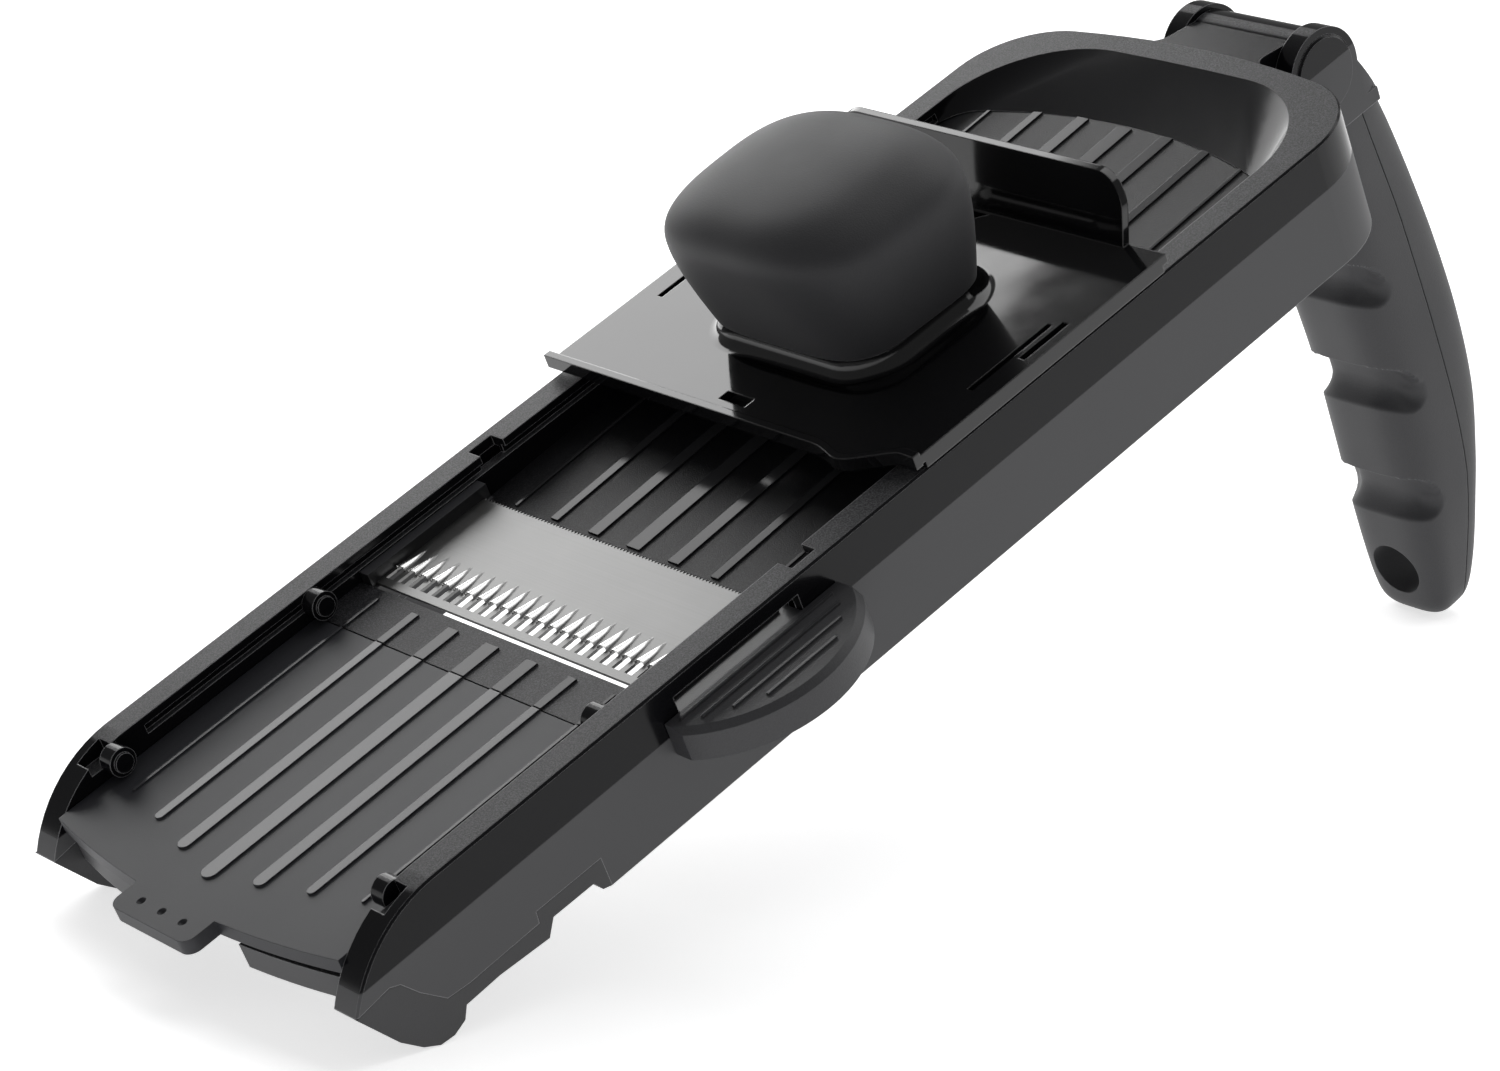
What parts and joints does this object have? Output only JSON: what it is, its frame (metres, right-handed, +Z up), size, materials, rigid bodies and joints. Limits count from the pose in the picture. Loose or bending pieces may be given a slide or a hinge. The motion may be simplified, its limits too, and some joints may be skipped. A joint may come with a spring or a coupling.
{
  "type": "mandoline slicer",
  "caption": "Sloping vegetable slicer with a side-loading reversible blade cartridge, a sliding food guard with a pusher knob, and a folding rear leg.",
  "frame": {"origin": "on the table, under the middle of the whole object's box", "axes": "+X across the board towards the blade cartridge's grip, +Y horizontal along the board towards its high end and leg, +Z up"},
  "size_m": [0.1586, 0.452, 0.1849],
  "materials": {
    "frame_plastic": "satin black ABS, finely grained on top faces",
    "plate_plastic": "matt slate-grey ABS with polished ribs",
    "carrier_plastic": "satin black",
    "blade_steel": "satin stainless steel",
    "fastener_steel": "plain steel",
    "grip_rubber": "dark grey thermoplastic rubber",
    "foot_rubber": "dark grey thermoplastic rubber",
    "guard_gloss": "piano-gloss black",
    "soft_touch": "charcoal soft-touch"
  },
  "bodies": {
    "base": {"main_frame": "frame_plastic", "infeed_ramp": "frame_plastic", "outlet_deck": "frame_plastic", "front_apron": "frame_plastic", "right_foot": "foot_rubber", "left_foot": "foot_rubber", "plate_retaining_pins": "frame_plastic"},
    "plate": {"lower_plate": "plate_plastic"},
    "cartridge": {"cartridge_carrier": "carrier_plastic", "blade_plate": "blade_steel", "blade_rivets": "fastener_steel", "cartridge_grip": "grip_rubber"},
    "guard": {"food_guard": "guard_gloss"},
    "pusher": {"knob_cover": "soft_touch", "knob_core": "carrier_plastic", "pusher_piston": "carrier_plastic", "pusher_screws": "fastener_steel", "food_spikes": "fastener_steel"},
    "leg": {"leg_core": "frame_plastic", "leg_grip": "soft_touch", "leg_back_cover": "soft_touch", "leg_screws": "fastener_steel", "hinge_caps": "soft_touch", "hinge_pin": "fastener_steel"}
  },
  "joints": [
    {"name": "leg_fold", "type": "hinge", "parent": "base", "child": "leg", "pos_m": [-0.0105, 0.13768, 0.17194], "axis": [1, 0, 0], "range_deg": [-76, 0]},
    {"name": "guard_slide", "type": "slide", "parent": "base", "child": "guard", "axis": [0, 0.9135, 0.4067], "range_m": [-0.118, 0.045]},
    {"name": "pusher_lift", "type": "slide", "parent": "guard", "child": "pusher", "axis": [0, -0.4067, 0.9135], "range_m": [0, 0.03]},
    {"name": "cartridge_slide", "type": "slide", "parent": "base", "child": "cartridge", "axis": [1, 0, 0], "range_m": [0, 0.11]},
    {"name": "plate_slide", "type": "slide", "parent": "base", "child": "plate", "axis": [0, -0.9135, -0.4067], "range_m": [0, 0.06]}
  ]
}
